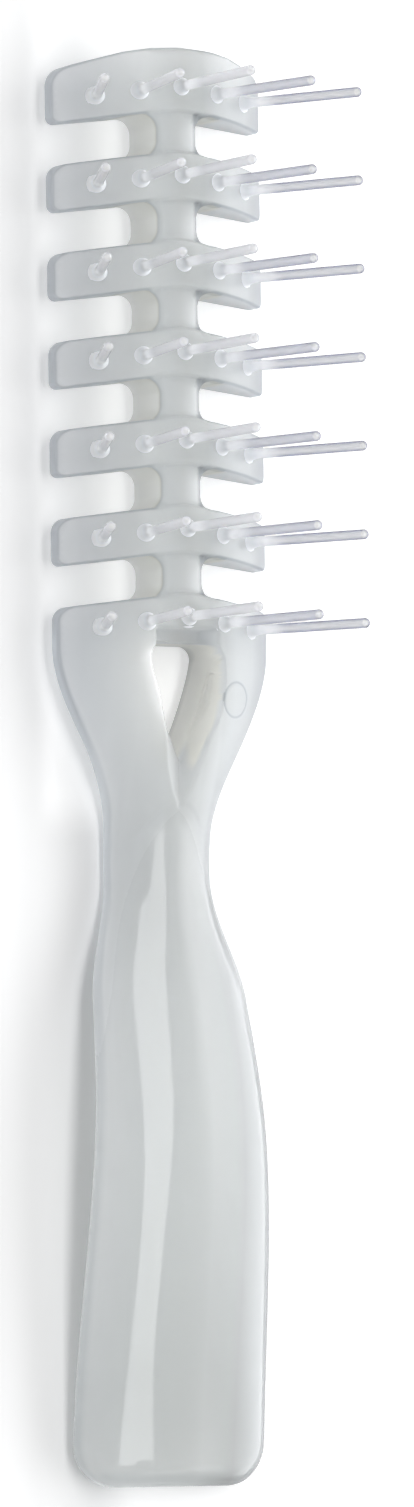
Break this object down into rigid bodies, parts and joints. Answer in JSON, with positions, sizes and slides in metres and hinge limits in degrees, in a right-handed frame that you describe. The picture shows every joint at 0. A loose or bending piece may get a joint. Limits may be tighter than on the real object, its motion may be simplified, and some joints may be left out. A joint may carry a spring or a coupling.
{
  "type": "skeleton hair brush",
  "caption": "Vented skeleton hair brush in milky plastic: a slotted, domed head with long flared pins, a fork that closes round a vent, a slim neck and a bowed handle.",
  "frame": {"origin": "centre of the bounding box at its bottom, which is where the heel of the handle touches the floor", "axes": "+Y along the brush from the handle to the tip of the head, +Z from the flat back of the head to the tips of the pins, +X across the head; the brush is its own mirror image about X = 0"},
  "size_m": [0.047, 0.227, 0.0362],
  "materials": {
    "body_plastic": "polished, milky and slightly translucent",
    "spine_plastic": "polished, the same milky plastic seen warmer where it is thick",
    "pin_plastic": "polished, the same milky plastic seen clearer and cooler where it is thin"
  },
  "bodies": {
    "root": {"spine": "spine_plastic", "rib_1": "body_plastic", "rib_2": "body_plastic", "rib_3": "body_plastic", "rib_4": "body_plastic", "rib_5": "body_plastic", "rib_6": "body_plastic", "fork": "body_plastic", "handle": "body_plastic", "pin_1_1": "pin_plastic", "pin_1_2": "pin_plastic", "pin_1_3": "pin_plastic", "pin_1_4": "pin_plastic", "pin_1_5": "pin_plastic", "pin_2_1": "pin_plastic", "pin_2_2": "pin_plastic", "pin_2_3": "pin_plastic", "pin_2_4": "pin_plastic", "pin_2_5": "pin_plastic", "pin_3_1": "pin_plastic", "pin_3_2": "pin_plastic", "pin_3_3": "pin_plastic", "pin_3_4": "pin_plastic", "pin_3_5": "pin_plastic", "pin_4_1": "pin_plastic", "pin_4_2": "pin_plastic", "pin_4_3": "pin_plastic", "pin_4_4": "pin_plastic", "pin_4_5": "pin_plastic", "pin_5_1": "pin_plastic", "pin_5_2": "pin_plastic", "pin_5_3": "pin_plastic", "pin_5_4": "pin_plastic", "pin_5_5": "pin_plastic", "pin_6_1": "pin_plastic", "pin_6_2": "pin_plastic", "pin_6_3": "pin_plastic", "pin_6_4": "pin_plastic", "pin_6_5": "pin_plastic", "pin_7_1": "pin_plastic", "pin_7_2": "pin_plastic", "pin_7_3": "pin_plastic", "pin_7_4": "pin_plastic", "pin_7_5": "pin_plastic"}
  },
  "joints": []
}
